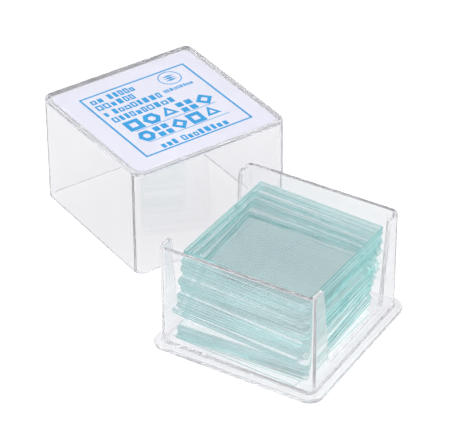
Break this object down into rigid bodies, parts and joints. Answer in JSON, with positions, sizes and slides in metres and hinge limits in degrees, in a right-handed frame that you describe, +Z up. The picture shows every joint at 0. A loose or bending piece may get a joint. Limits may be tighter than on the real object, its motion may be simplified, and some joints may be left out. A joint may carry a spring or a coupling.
{
  "type": "microscope cover glass box",
  "caption": "Clear square plastic box for microscope cover glasses, open: a notched tray holding a pack of loose square glasses, with its labelled lid standing beside it.",
  "frame": {"origin": "centre of the tray's flat underside, on the surface that the tray and the lid stand on", "axes": "+Z up; X along the tray's two full-height walls, with the finger notches facing +X and -X; the lid stands on the -X, +Y side, turned about Z"},
  "size_m": [0.0668, 0.0527, 0.0195],
  "materials": {
    "clear_polystyrene": "clear injection-moulded polystyrene, glossy, colourless",
    "cover_glass": "clear drawn glass, pale teal where it is seen edge-on or many plates deep",
    "label_card": "white card, printed in one blue"
  },
  "bodies": {
    "tray": {"base_tray": "clear_polystyrene"},
    "lid": {"lid_shell": "clear_polystyrene", "label_card": "label_card"},
    "glass_stack": {"cover_glass_001": "cover_glass", "cover_glass_003": "cover_glass", "cover_glass_005": "cover_glass", "cover_glass_007": "cover_glass", "cover_glass_009": "cover_glass", "cover_glass_011": "cover_glass", "cover_glass_013": "cover_glass", "cover_glass_015": "cover_glass", "cover_glass_017": "cover_glass", "cover_glass_019": "cover_glass", "cover_glass_021": "cover_glass", "cover_glass_023": "cover_glass", "cover_glass_025": "cover_glass", "cover_glass_027": "cover_glass", "cover_glass_029": "cover_glass", "cover_glass_031": "cover_glass", "cover_glass_033": "cover_glass", "cover_glass_035": "cover_glass", "cover_glass_037": "cover_glass", "cover_glass_039": "cover_glass", "cover_glass_041": "cover_glass", "cover_glass_043": "cover_glass", "cover_glass_045": "cover_glass", "cover_glass_047": "cover_glass", "cover_glass_049": "cover_glass", "cover_glass_051": "cover_glass", "cover_glass_053": "cover_glass", "cover_glass_055": "cover_glass", "cover_glass_057": "cover_glass", "cover_glass_059": "cover_glass", "cover_glass_061": "cover_glass", "cover_glass_063": "cover_glass", "cover_glass_065": "cover_glass", "cover_glass_067": "cover_glass", "cover_glass_069": "cover_glass", "cover_glass_071": "cover_glass", "cover_glass_073": "cover_glass", "cover_glass_075": "cover_glass", "cover_glass_077": "cover_glass", "cover_glass_079": "cover_glass", "cover_glass_081": "cover_glass", "cover_glass_083": "cover_glass", "cover_glass_085": "cover_glass", "cover_glass_087": "cover_glass", "cover_glass_088": "cover_glass", "cover_glass_089": "cover_glass", "cover_glass_090": "cover_glass", "cover_glass_091": "cover_glass", "cover_glass_092": "cover_glass", "cover_glass_093": "cover_glass", "cover_glass_094": "cover_glass", "cover_glass_095": "cover_glass", "cover_glass_096": "cover_glass", "cover_glass_097": "cover_glass", "cover_glass_098": "cover_glass"},
    "second_glass": {"cover_glass_099": "cover_glass"},
    "top_glass": {"cover_glass_100": "cover_glass"}
  },
  "joints": [
    {"name": "lid_lift", "type": "slide", "parent": "tray", "child": "lid", "axis": [0, 0, 1], "range_m": [0, 0.025]},
    {"name": "stack_lift", "type": "slide", "parent": "tray", "child": "glass_stack", "axis": [0, 0, 1], "range_m": [0, 0.02]},
    {"name": "second_glass_lift", "type": "slide", "parent": "glass_stack", "child": "second_glass", "axis": [0, 0, 1], "range_m": [0, 0.008]},
    {"name": "top_glass_lift", "type": "slide", "parent": "second_glass", "child": "top_glass", "axis": [0, 0, 1], "range_m": [0, 0.01]}
  ]
}
